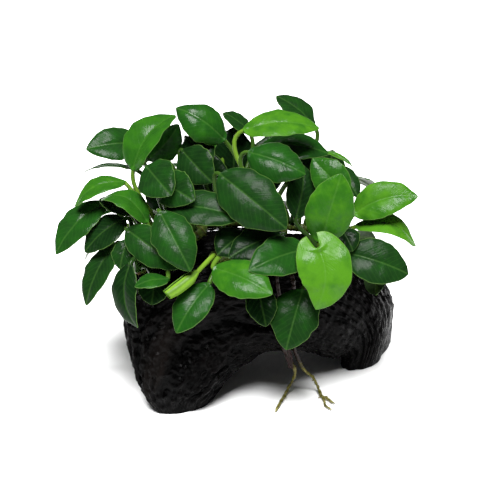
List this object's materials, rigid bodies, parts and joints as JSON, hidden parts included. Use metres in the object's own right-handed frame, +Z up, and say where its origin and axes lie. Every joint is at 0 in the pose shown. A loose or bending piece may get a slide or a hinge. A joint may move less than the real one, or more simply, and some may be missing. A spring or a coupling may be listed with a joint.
{
  "type": "anubias on driftwood",
  "caption": "Small broad-leaved water plant whose creeping rhizomes have grown onto an arched block of dark waterlogged driftwood; it stands free on the floor of an aquarium.",
  "frame": {"origin": "on the resting plane, under the middle of the whole object's bounding box", "axes": "+Z up; +X to the viewer's right in the picture, along the driftwood's length and the longest side; +Y away from the viewer, the shortest side"},
  "size_m": [0.1317, 0.0877, 0.1002],
  "materials": {
    "wood": "near black, waterlogged, wet and fibrous",
    "leaf": "dark green, leathery and glossy, wet",
    "stem": "yellow-green, smooth and moist",
    "root": "olive to tan, knobbly, moist"
  },
  "bodies": {
    "root": {"driftwood": "wood", "rhizome_left": "stem", "rhizome_centre": "stem", "rhizome_right": "stem", "rhizome_back": "stem", "leaf_left_1": "leaf", "leaf_left_2": "leaf", "leaf_left_3": "leaf", "leaf_left_4": "leaf", "leaf_left_5": "leaf", "leaf_left_6": "leaf", "leaf_left_7": "leaf", "leaf_left_8": "leaf", "leaf_left_9": "leaf", "leaf_left_10": "leaf", "leaf_left_11": "leaf", "leaf_left_12": "leaf", "leaf_front_1": "leaf", "leaf_front_2": "leaf", "leaf_front_3": "leaf", "leaf_front_4": "leaf", "leaf_front_5": "leaf", "leaf_front_6": "leaf", "leaf_front_7": "leaf", "leaf_front_8": "leaf", "leaf_front_9": "leaf", "leaf_front_10": "leaf", "leaf_front_11": "leaf", "leaf_front_12": "leaf", "leaf_front_13": "leaf", "leaf_right_1": "leaf", "leaf_right_2": "leaf", "leaf_right_3": "leaf", "leaf_right_4": "leaf", "leaf_right_5": "leaf", "leaf_right_6": "leaf", "leaf_right_7": "leaf", "leaf_right_8": "leaf", "leaf_right_9": "leaf", "leaf_right_10": "leaf", "leaf_top_1": "leaf", "leaf_top_2": "leaf", "leaf_top_3": "leaf", "leaf_top_4": "leaf", "leaf_top_5": "leaf", "leaf_top_6": "leaf", "leaf_top_7": "leaf", "leaf_top_8": "leaf", "leaf_top_9": "leaf", "leaf_top_10": "leaf", "leaf_top_11": "leaf", "leaf_top_12": "leaf", "leaf_top_13": "leaf", "leaf_rolled": "leaf", "shoot_back_left": "leaf", "shoot_back_middle": "leaf", "shoot_back_right": "leaf", "shoot_right": "leaf", "root_left": "root", "root_right": "root"}
  },
  "joints": []
}
